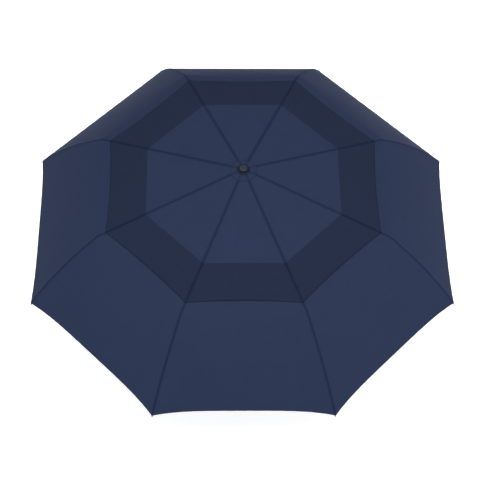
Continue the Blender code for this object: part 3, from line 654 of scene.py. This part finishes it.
def relief(from_rib, from_hem, along, number, sizes):
    """Height of the seam's lips, its small puckers, and the turned hem."""
    lip = ridge(from_rib, 0.00038, 0.0022, 0.0014)
    valley = ridge(from_rib, -0.00016, 0.0, 0.0007)
    pucker = 0.00022 * exp(-from_rib / 0.007) * sin(along / 0.0021 + 1.7 * number)
    pucker *= min(1.0, from_rib / 0.002)
    turned = 0.00014 * (1.0 - tanh((from_hem - sizes.hem) / 0.0006))
    stitched = ridge(from_hem, -0.00020, 0.75 * sizes.hem, 0.0007)
    ripple = 0.00025 * exp(-from_hem / 0.012) * sin(from_rib / 0.0048 + 0.9 * number)
    return lip + valley + pucker + turned + stitched + ripple * min(1.0, from_rib / 0.02)


def station_rows(kind):
    """Each row of a half gore as a function from the share across it to its length along it."""
    if kind == "vent":
        stations = spaced(CLOTH_START, VENT_R / cos(SLOPE), 0.0042, 0.0007, 10)
        return [lambda t, s=s: s for s in stations]
    if kind == "inner":
        stations = spaced(-INNER_LENGTH, 0.0, 0.0040, 0.0020, 6)
        rows = [lambda t, s=s: s for s in stations]
        return rows + [lambda t, part=i / 14.0: part * cut_length(t) for i in range(1, 15)]
    parts = spaced(0.0, 1.0, 0.018, 0.003, 10)
    return [lambda t, part=part: cut_length(t) + part * (ARC_LENGTH - cut_length(t)) for part in parts]


def gore_point(kind, s, t):
    """The cloth at a length s: its radius, height and slope, and distances along and from the hem."""
    bow = 4.0 * t * (1.0 - t)
    if kind == "vent":
        end = VENT_R / cos(SLOPE)
        return (*vent_point(s - VENT_RISE * bow * (s / end) ** 3), s, end - s)
    along = s + INNER_LENGTH + HOLE_R
    if s < 0.0:
        return (*main_point(s, t), along, s + INNER_LENGTH)
    shift = HEM_RISE * (1.0 - abs(2.0 * t - 1.0) ** 4) * (s / ARC_LENGTH) ** 2
    return (*main_point(s - shift, t), along, min(ARC_LENGTH - s, s + INNER_LENGTH))


def gore_rows(number, side, kind, sizes):
    """A half gore's points from the rib to mid gore, each with its three map values."""
    here = rib_turn(number)
    there = here + side * STEP
    rows = []
    for length in station_rows(kind):
        r0 = gore_point(kind, length(0.0), 0.0)[0]
        row = []
        for t in across_shares(r0):
            r, z, slope, along, from_hem = gore_point(kind, length(t), t)
            a = Vector(around(r, here, z))
            b = Vector(around(r, there, z))
            from_rib = (b - a).length * t
            middle = here + side * STEP * t
            normal = Vector(around(sin(slope), middle, cos(slope)))
            high = relief(from_rib, from_hem, along, number, sizes)
            centre = side * (b - a).length * (0.5 - t)
            row.append((a.lerp(b, t) + normal * high, ((centre, along), (from_rib, from_hem), (r, t))))
        rows.append(row)
    return rows


def weave(shape, rows, side):
    """Adds a sheet of faces with the cloth's maps."""
    maps = [shape.loops.layers.uv.get(label) or shape.loops.layers.uv.new(label)
            for label in ("cloth", "edge", "place")]
    made = [[(shape.verts.new(point), values) for point, values in row] for row in rows]
    for low, high in zip(made, made[1:]):
        for i in range(len(low) - 1):
            corners = (low[i], high[i], high[i + 1], low[i + 1])
            corners = corners if side > 0 else corners[::-1]
            face = shape.faces.new([vert for vert, _ in corners])
            for loop, (_, values) in zip(face.loops, corners):
                for layer, value in zip(maps, values):
                    loop[layer].uv = value


def cloth_piece(name, sheets, material, body, node, sizes):
    """One piece of cloth from the sheets beside one or both sides of a rib."""
    shape = bmesh.new()
    for rows, side in sheets:
        weave(shape, rows, side)
    bmesh.ops.remove_doubles(shape, verts=shape.verts, dist=0.000001)
    area = sum(face.calc_area() for face in shape.faces)
    rows = sheets[0][0]
    made = place_mesh(name, shape, material, body, node)
    give_thickness(made, sizes.cloth_thickness)
    return made


def gather(made):
    """Gives the piece its own copy of its mesh."""
    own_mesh(made)


PATCH_R = 0.0310
PATCH_THICKNESS = 0.0003
PLEAT_INNER = (radians(12.0), 0.02)
PLEAT_OUTER = (radians(14.0), 0.05)
OUTER_SLOPE = ROOT + ARC_LENGTH / (2.0 * ARC_R)


def make_canopy(sizes):
    """Each rib's strip of cloth stays flat over it, and the cloth beside the strip is a piece of its
    own on each side.
    """
    kinds = (("vent", "vent_cap", "inner", "canopy_vent", "vent_cloth", SLOPE, PLEAT_INNER),
             ("inner", "main_inner", "inner", "canopy_main", "canopy_cloth", SLOPE, PLEAT_INNER),
             ("outer", "main_outer", "outer", "canopy_main", "canopy_cloth", OUTER_SLOPE, PLEAT_OUTER))
    for number in range(1, RIBS + 1):
        for kind, label, link_kind, node, material, slope, pleat in kinds:
            body = f"{link_kind}_{number}"
            halves = [(gore_rows(number, side, kind, sizes), side) for side in (1, -1)]
            strips = [([row[:STRIP_COLUMN + 1] for row in rows], side) for rows, side in halves]
            cloth_piece(f"{label}_{number}_seam", strips, material, body, node, sizes)
            for (rows, side), word in zip(halves, ("left", "right")):
                rest = [row[STRIP_COLUMN:] for row in rows]
                rest = [row for row in rest if (row[-1][0] - row[0][0]).length > 0.0004]
                made = cloth_piece(f"{label}_{number}_{word}", [(rest, side)], material, body, node,
                                   sizes)
                gather(made)


def strip(shape, rows):
    """Joins rows of vertices into faces."""
    for low, high in zip(rows, rows[1:]):
        for i in range(len(low) - 1):
            shape.faces.new((low[i], high[i], high[i + 1], low[i + 1]))


def thickened(shape, thickness):
    """Gives an upward sheet its thickness, below it."""
    bmesh.ops.recalc_face_normals(shape, faces=shape.faces)
    if sum(face.normal.z for face in shape.faces) < 0.0:
        bmesh.ops.reverse_faces(shape, faces=shape.faces)
    bmesh.ops.solidify(shape, geom=shape.faces, thickness=thickness)
    bmesh.ops.recalc_face_normals(shape, faces=shape.faces)
    return shape


def make_apex_patch():
    """The eight-sided patch sewn over the canopy's centre, in one sector for each rib."""
    count = 24
    for number in range(1, RIBS + 1):
        here = rib_turn(number)
        shape = bmesh.new()
        rows = []
        for i in range(count + 1):
            s = CLOTH_START + (PATCH_R - CLOTH_START) * i / count
            r, z, slope = vent_point(s)
            from_edge = PATCH_R - s
            row = []
            for j in range(-12, 13):
                turn = here + STEP * j / 24.0
                radius = r * cos(STEP / 2.0) / cos(STEP / 2.0 - abs(turn - here))
                beside = abs(r * sin(turn - here))
                lift = 0.00050 - ridge(from_edge, 0.00045, 0.0, 0.0006)
                lift += ridge(beside, 0.00025, 0.0020, 0.0012)
                lift -= ridge(from_edge, 0.00018, 0.0030, 0.0005)
                point = Vector(around(radius, turn, z + lift * cos(slope)))
                row.append((point, ((r * sin(turn - here), s), (beside, from_edge), (r, 0.0))))
            rows.append(row)
        weave(shape, rows, 1)
        made = place_mesh(f"apex_patch_{number}", shape, "patch_cloth")
        give_thickness(made, PATCH_THICKNESS)
        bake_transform(made)


def make_knee_patches():
    """Cloth guards between each knee and the canopy."""
    half_width, half_length, thickness, bend = 0.0095, 0.020, 0.0002, 0.006
    for number in range(1, RIBS + 1):
        here = rib_turn(number)
        shape = bmesh.new()
        rows = []
        for i in range(21):
            r0, z0, slope = main_point(half_length * (i - 10) / 10.0, 0.0)
            row = []
            for j in range(-8, 9):
                across = half_width * j / 8.0
                sunk = 0.00047 + ridge(abs(across), 0.00012, 0.0078, 0.0006)
                r = r0 - sunk * sin(slope) - abs(across) * tan(STEP / 2.0)
                z = z0 - sunk * cos(slope)
                row.append(shape.verts.new((r * cos(here) - across * sin(here),
                                            r * sin(here) + across * cos(here), z)))
            rows.append(row)
        strip(shape, rows)
        thickened(shape, thickness)
        made = place_mesh(f"knee_guard_{number}", shape, "trim_cloth")
        for s in (-bend, bend):
            r, z, _ = main_point(s, 0.0)
        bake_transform(made)


STRAP_RIB = 2
STRAP_WIDTH = 0.012
STRAP_THICKNESS = 0.0005
STRAP_BESIDE = 0.006              # from the rib's line
STRAP_UNDER = 0.0040              # the canopy's surface
STRAP_LENGTH = ARC_LENGTH * 11.0 / 24.0


def make_strap():
    """The band that ties the folded canopy, with its turned and stitched edges."""
    here = rib_turn(STRAP_RIB)
    there = here + STEP
    shape = bmesh.new()
    rows = []
    for i in range(49):
        s = STRAP_LENGTH * (1.0 + i / 48.0)
        r, z, slope = main_point(s, 0.0)
        a = Vector(around(r, here, z))
        b = Vector(around(r, there, z))
        side = (b - a).normalized()
        down = Vector(around(sin(slope), here + 0.02, cos(slope)))
        row = []
        for j in range(13):
            wide = STRAP_WIDTH * j / 12.0
            edge = min(wide, STRAP_WIDTH - wide, 0.0125 * min(i, 48 - i) / 6.0)
            pad = 0.00022 * (1.0 - tanh((edge - 0.0020) / 0.0003))
            stitch = ridge(edge, 0.0002, 0.0014, 0.0004)
            row.append(shape.verts.new(a + side * (STRAP_BESIDE + wide)
                                       - down * (STRAP_UNDER - pad + stitch)))
        rows.append(row)
    strip(shape, rows)
    thickened(shape, STRAP_THICKNESS)
    made = place_mesh("closing_strap_cloth", shape, "strap_cloth", f"outer_{STRAP_RIB}",
                      "closing_strap")
    return made


TIE_PLACES = (0.095, 0.235, 0.290)      # along an inner rib, from the crown pin


def loop_round(shape, centre, along, up, half_width, half_height, thread):
    """A ring of thread wrapped twice round a rib."""
    side = along.cross(up).normalized()
    for turn in (-0.5, 0.5):
        before = len(shape.verts)
        ring = bmesh.ops.create_circle(shape, segments=6, radius=thread)["verts"]
        bmesh.ops.rotate(shape, verts=ring, cent=(0.0, 0.0, 0.0),
                         matrix=Matrix.Rotation(pi / 2.0, 3, "X"))
        bmesh.ops.translate(shape, verts=ring, vec=(1.0, 0.0, 0.0))
        edges = list({edge for vert in ring for edge in vert.link_edges})
        bmesh.ops.spin(shape, geom=list(ring) + edges, cent=(0.0, 0.0, 0.0),
                       axis=(0.0, 0.0, 1.0), angle=2.0 * pi, steps=20, use_merge=True,
                       use_normal_flip=False)
        for vert in list(shape.verts)[before:]:
            flat = hypot(vert.co.x, vert.co.y)
            out = flat - 1.0
            cx, cy = vert.co.x / flat, vert.co.y / flat
            vert.co = (centre + side * cx * (half_width + out) + up * cy * (half_height + out)
                       + along * (vert.co.z + turn * thread * 2.2))


def make_ties():
    """Thread ties that hold the canopy to the inner ribs."""
    for number in range(1, RIBS + 1):
        here = rib_turn(number)
        outward = Vector(around(1.0, here, 0.0))
        shape = bmesh.new()
        along = outward * cos(SLOPE) - Vector((0.0, 0.0, sin(SLOPE)))
        up = outward * sin(SLOPE) + Vector((0.0, 0.0, cos(SLOPE)))
        for x in TIE_PLACES:
            loop_round(shape, rib_point(number, x, 0.00315), along, up, half_width=0.00275,
                       half_height=0.00185, thread=0.00022)
        bmesh.ops.recalc_face_normals(shape, faces=shape.faces)
        place_mesh(f"inner_ties_{number}", shape, "sewing_thread", f"inner_{number}", angle=70.0)


# ---- handle, button and ferrule ----

GRIP_TOP = 0.045
GRIP_BOTTOM = -0.0413
GRIP_R = 0.0155
GRIP_BORE = 0.0073
BUTTON_Z = 0.024
BUTTON_R = 0.0055
BUTTON_FACE = 0.0175
BUTTON_BACK = 0.0119
PIN_HEIGHT = -0.032
FERRULE_BASE = 0.5934
FERRULE_TOP = 0.6005
BUTTON_PLACE = Matrix.Translation((0.0, 0.0, BUTTON_Z)) @ Matrix.Rotation(pi / 2.0, 4, "X")


def make_grip(sizes):
    """The soft grip: a slim neck, a full body with shallow rings, the button's well and pin holes."""
    body_top = GRIP_TOP - 0.003
    outside = [(0.0120, GRIP_TOP), (0.0125, GRIP_TOP - 0.0003), (0.0128, GRIP_TOP - 0.0010),
               (0.0138, body_top)]
    count = 110
    ring_top, ring_bottom = 0.009, -0.026
    pitch = (ring_top - ring_bottom) / sizes.grip_rings
    for i in range(1, count + 1):
        z = body_top + (GRIP_BOTTOM + 0.0016 - body_top) * i / count
        part = (body_top - z) / 0.0803
        r = 0.0138 + 0.0017 * sin(pi / 2.0 * min(1.0, part * 2.2))
        inside = (ring_top - z) / pitch
        if 0.0 < inside < sizes.grip_rings:
            r -= 0.00045 * sin(pi * inside) ** 8
        outside.append((r, z))
    outside += [(GRIP_R - 0.0003, GRIP_BOTTOM + 0.0006), (GRIP_R - 0.0010, GRIP_BOTTOM),
                (GRIP_BORE, GRIP_BOTTOM), (GRIP_BORE, GRIP_TOP)]
    made = place_mesh("handle_grip_fine", spun(outside, 64), "grip_rubber_finish", "handle",
                      "handle_grip")
    carve(made, spun([(0.0, 0.0094), (BUTTON_R + 0.0003, 0.0094), (BUTTON_R + 0.0003, 0.0148),
                      (BUTTON_R + 0.0012, 0.0158), (BUTTON_R + 0.0012, 0.0220), (0.0, 0.0220)],
                     40, BUTTON_PLACE))
    sideways = Matrix.Translation((0.0, 0.0, PIN_HEIGHT)) @ Matrix.Rotation(pi / 2.0, 4, "Y")
    carve(made, spun([(0.0, -0.0200), (0.0015, -0.0200), (0.0015, 0.0200), (0.0, 0.0200)], 20,
                     sideways))


def make_button():
    """A round push button with a dished face and a raised rim."""
    face = BUTTON_FACE
    profile = [(0.0, face - 0.0007), (0.0018, face - 0.0006), (0.0032, face - 0.0003),
               (0.0040, face - 0.00005), (0.0044, face), (0.0049, face - 0.0001),
               (0.0053, face - 0.0005), (BUTTON_R, face - 0.0011), (BUTTON_R, BUTTON_BACK),
               (0.0042, BUTTON_BACK), (0.0042, 0.0157), (0.0, 0.0157)]
    place_mesh("push_button_fine", spun(profile, 48, BUTTON_PLACE), "button_plastic_finish", "button",
               "push_button")


def make_end_cap():
    """The plug in the grip's end, with a rounded foot and a shallow ring in its face."""
    profile = [(0.0, -0.0363), (0.0066, -0.0363), (0.0070, -0.0367), (0.0070, -0.0416),
               (0.0138, -0.0416),
               (0.0140, -0.0418), (0.0140, -0.0434), (0.0139, -0.0439), (0.0136, -0.0444),
               (0.0131, -0.0448), (0.0124, -0.0450), (0.0092, -0.0450), (0.0089, -0.0446),
               (0.0080, -0.0446), (0.0077, -0.0450), (0.0, -0.0450)]
    place_mesh("handle_end_cap_fine", spun(profile, 64), "satin_plastic", "handle", "handle_end_cap")


def make_ferrule():
    """The low cap on the shaft's top: a flared foot, a drum with a rounded rim, and an inset disc."""
    base, top = FERRULE_BASE, FERRULE_TOP
    profile = [(0.0064, base), (0.0131, base), (0.0135, base + 0.0003), (0.0135, base + 0.0010),
               (0.0132, base + 0.0014), (0.0122, base + 0.0017), (0.0114, base + 0.0023),
               (0.0109, base + 0.0034), (0.0104, top - 0.0011), (0.0101, top - 0.0004),
               (0.0096, top), (0.0090, top - 0.0001), (0.0088, top - 0.0006), (0.0, top - 0.0006),
               (0.0, top - 0.0042), (0.0064, top - 0.0042)]
    place_mesh("ferrule_cap_fine", spun(profile, 64), "ferrule_plastic_finish", "shaft_top",
               "ferrule_cap")
    disc = [(0.0, top - 0.0002), (0.0050, top - 0.00025), (0.0080, top - 0.0004),
            (0.0085, top - 0.0006), (0.0085, top - 0.0012), (0.0, top - 0.0012)]
    made = place_mesh("ferrule_disc", spun(disc, 64), "ferrule_disc_finish", "shaft_top")


# ---- operators ----

class UMBRELLA_OT_finishes(bpy.types.Operator):
    """Make the materials"""
    bl_idname = "umbrella.finishes"
    bl_label = "Finishes"

    def execute(self, context):
        made = bpy.data.collections.new(COLLECTION)
        context.scene.collection.children.link(made)
        make_finishes(context.scene.umbrella_sizes, context.scene.umbrella_colours)
        return {"FINISHED"}


class UMBRELLA_OT_canopy(bpy.types.Operator):
    """Make the vent cap and the main canopy as sewn half gores"""
    bl_idname = "umbrella.canopy"
    bl_label = "Canopy"

    def execute(self, context):
        make_canopy(context.scene.umbrella_sizes)
        return {"FINISHED"}


class UMBRELLA_OT_trim(bpy.types.Operator):
    """Make the apex patch, knee guards, closing strap and thread ties"""
    bl_idname = "umbrella.trim"
    bl_label = "Trim"

    def execute(self, context):
        make_apex_patch()
        make_knee_patches()
        strap = make_strap()
        gather(strap)
        make_ties()
        return {"FINISHED"}


FRAME_PARTS = (                   # a solid, its finish, and how wide its soft edges are
    [("lower_tube", "tube_chrome", 0.00012), ("upper_tube", "tube_chrome", 0.00012),
     ("handle_pin", "pin_bright_steel", 0.00015), ("spring_seat", "inner_plastic_finish", 0.0002),
     ("tube_plug", "inner_plastic_finish", 0.0002), ("main_spring", "spring_wire_steel", 0.0),
     ("button_spring", "spring_wire_steel", 0.0), ("crown", "hub_plastic_finish", 0.00018),
     ("crown_wire", "pin_bright_steel", 0.0), ("runner", "hub_plastic_finish", 0.00025),
     ("runner_wire", "pin_bright_steel", 0.0)]
    + [(f"{part}_{k}", material, 0.0)
       for part, material in (("inner_rib", "black_rib_steel"), ("stretcher", "black_rib_steel"),
                              ("tie_link", "link_steel"), ("outer_rib", "fibre_rod"))
       for k in range(1, RIBS + 1)])
SMOOTH_ANGLES = {"spring_wire_steel": 70.0, "fibre_rod": 50.0, "pin_bright_steel": 50.0}
SPRINGS = {"main_spring": ("shaft_slide", Vector((0.0, 0.0, 1.0))),      # from the fixed end outwards
           "button_spring": ("button_press", Vector((0.0, -1.0, 0.0)))}


def compress(made, node):
    """Gives a spring its own copy of its mesh."""
    joint, axis = SPRINGS[node]
    corners = [Vector(corner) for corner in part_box(node)]
    corners.sort(key=lambda corner: corner.dot(axis))
    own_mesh(made)


class UMBRELLA_OT_frame(bpy.types.Operator):
    """Give the shaft, crown, runner, ribs and springs their finishes and soft edges"""
    bl_idname = "umbrella.frame"
    bl_label = "Frame"

    def execute(self, context):
        for node, material, edge in FRAME_PARTS:
            body = frame["nodes"][node]["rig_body"]
            shape = merged_copy(node)
            if edge:
                beveled(shape, edge)
            made = place_mesh(f"{node}_fine", shape, material, body, node,
                              SMOOTH_ANGLES.get(material, 32.0))
            if node in SPRINGS:
                compress(made, node)
        return {"FINISHED"}


class UMBRELLA_OT_handle(bpy.types.Operator):
    """Make the hand grip, its end cap, the push button, the ferrule cap and the rib tips"""
    bl_idname = "umbrella.handle"
    bl_label = "Handle"

    def execute(self, context):
        make_grip(context.scene.umbrella_sizes)
        make_button()
        make_end_cap()
        make_ferrule()
        for k in range(1, RIBS + 1):
            node = f"rib_tip_{k}"
            place_mesh(f"{node}_fine", beveled(merged_copy(node), 0.00025), "tip_plastic_finish",
                       f"outer_{k}", node, 50.0)
        return {"FINISHED"}


class UMBRELLA_OT_studio(bpy.types.Operator):
    """Make the pale floor, the soft light and the camera"""
    bl_idname = "umbrella.studio"
    bl_label = "Studio"

    def execute(self, context):
        floor = bmesh.new()
        bmesh.ops.create_grid(floor, x_segments=2, y_segments=2, size=40.0)
        bmesh.ops.translate(floor, vec=(0.0, 0.0, cad_box[0].z - 0.0002), verts=floor.verts)
        mesh = bpy.data.meshes.new("floor")
        floor.to_mesh(mesh)
        floor.free()
        paint, tree, sockets = finish("floor_paper", 0.9, specular=0.1)
        shade = placed(tree, "Slow mottling", Place=object_place(tree), Scale=3.0, Amount=0.01)
        link(tree, mixed(tree, 1.0, (0.86, 0.86, 0.865), shade["Shade"], "MULTIPLY"),
             sockets["Base Color"])
        sockets["Emission Color"].default_value = (1.0, 1.0, 1.0, 1.0)
        sockets["Emission Strength"].default_value = 0.5
        mesh.materials.append(paint)
        made = bpy.data.objects.new("floor", mesh)
        context.scene.collection.objects.link(made)

        world = bpy.data.worlds.new("soft_room")
        world.use_nodes = True
        tree = world.node_tree
        _, _, height = parts_of(tree, node(tree, "TexCoord").outputs["Generated"])
        sky = tree.nodes["Background"].inputs
        link(tree, ramp(tree, height, 0.15, 0.9, 0.88, 0.6), sky["Strength"])
        sky["Color"].default_value = (1.0, 1.0, 1.0, 1.0)
        context.scene.world = world

        middle = Vector((0.0, 0.0, 0.45))
        # each lamp's place, its size in metres and its power in watts
        for name, at, size, power in (("key", (0.0, -0.75, 3.1), 1.6, 66.0),
                                      ("left_side", (-2.4, -0.6, 1.3), 1.5, 8.0),
                                      ("right_side", (2.4, -0.6, 1.3), 1.5, 14.0)):
            lamp = bpy.data.lights.new(name, "AREA")
            lamp.energy = power
            lamp.size = size
            made = bpy.data.objects.new(name, lamp)
            made.location = at
            made.rotation_euler = (middle - Vector(at)).to_track_quat("-Z", "Y").to_euler()
            context.scene.collection.objects.link(made)
        make_camera(context)
        context.scene.view_settings.view_transform = "Standard"
        return {"FINISHED"}


VIEW_LENS = 107.4
VIEW_TARGET = Vector((0.0, 0.0, 0.5335))
VIEW_ELEVATION = radians(55.057)
VIEW_DISTANCE = 3.0867
VIEW_AZIMUTH = radians(-1.629)
VIEW_TILT = radians(2.165)
VIEW_TURN = radians(0.131)
VIEW_ROLL = radians(1.269)


def make_camera(context):
    lens = bpy.data.cameras.new("camera")
    lens.lens = VIEW_LENS
    lens.sensor_width = 36.0
    lens.clip_start = 0.1
    lens.clip_end = 200.0
    level = cos(VIEW_ELEVATION)
    at = VIEW_TARGET + VIEW_DISTANCE * Vector((sin(VIEW_AZIMUTH) * level,
                                               -cos(VIEW_AZIMUTH) * level, sin(VIEW_ELEVATION)))
    down = -(VIEW_ELEVATION + VIEW_TILT)
    turn = VIEW_AZIMUTH + VIEW_TURN
    ahead = Vector((-sin(turn) * cos(down), cos(turn) * cos(down), sin(down)))
    right = ahead.cross(Vector((0.0, 0.0, 1.0))).normalized()
    up = right.cross(ahead)
    c, s = cos(VIEW_ROLL), sin(VIEW_ROLL)
    right, up = c * right + s * up, c * up - s * right
    made = bpy.data.objects.new("camera", lens)
    made.matrix_world = (Matrix.Translation(at) @ Matrix((right, up, -ahead)).transposed().to_4x4())
    context.scene.collection.objects.link(made)
    context.scene.camera = made


class UMBRELLA_PT_maker(bpy.types.Panel):
    """Lists the umbrella's sizes, colours and steps"""
    bl_idname = "UMBRELLA_PT_maker"
    bl_label = "Umbrella"
    bl_space_type = "VIEW_3D"
    bl_region_type = "UI"
    bl_category = "Umbrella"

    def draw(self, context):
        layout = self.layout
        for values in (context.scene.umbrella_sizes, context.scene.umbrella_colours):
            box = layout.box()
            for name in values.bl_rna.properties.keys():
                if name not in ("rna_type", "name"):
                    box.prop(values, name)
        for step in STEPS:
            layout.operator(step.bl_idname)


STEPS = (UMBRELLA_OT_finishes, UMBRELLA_OT_canopy, UMBRELLA_OT_trim, UMBRELLA_OT_frame,
         UMBRELLA_OT_handle, UMBRELLA_OT_studio)
CLASSES = (UmbrellaSizes, UmbrellaColours, *STEPS, UMBRELLA_PT_maker)


def register():
    for made in CLASSES:
        bpy.utils.register_class(made)
    bpy.types.Scene.umbrella_sizes = bpy.props.PointerProperty(type=UmbrellaSizes)
    bpy.types.Scene.umbrella_colours = bpy.props.PointerProperty(type=UmbrellaColours)


def unregister():
    del bpy.types.Scene.umbrella_colours
    del bpy.types.Scene.umbrella_sizes
    for made in reversed(CLASSES):
        bpy.utils.unregister_class(made)


def main():
    register()
    bpy.ops.umbrella.finishes()
    bpy.ops.umbrella.canopy()
    bpy.ops.umbrella.trim()
    bpy.ops.umbrella.frame()
    bpy.ops.umbrella.handle()
    bpy.ops.umbrella.studio()


if __name__ == "__main__":
    main()
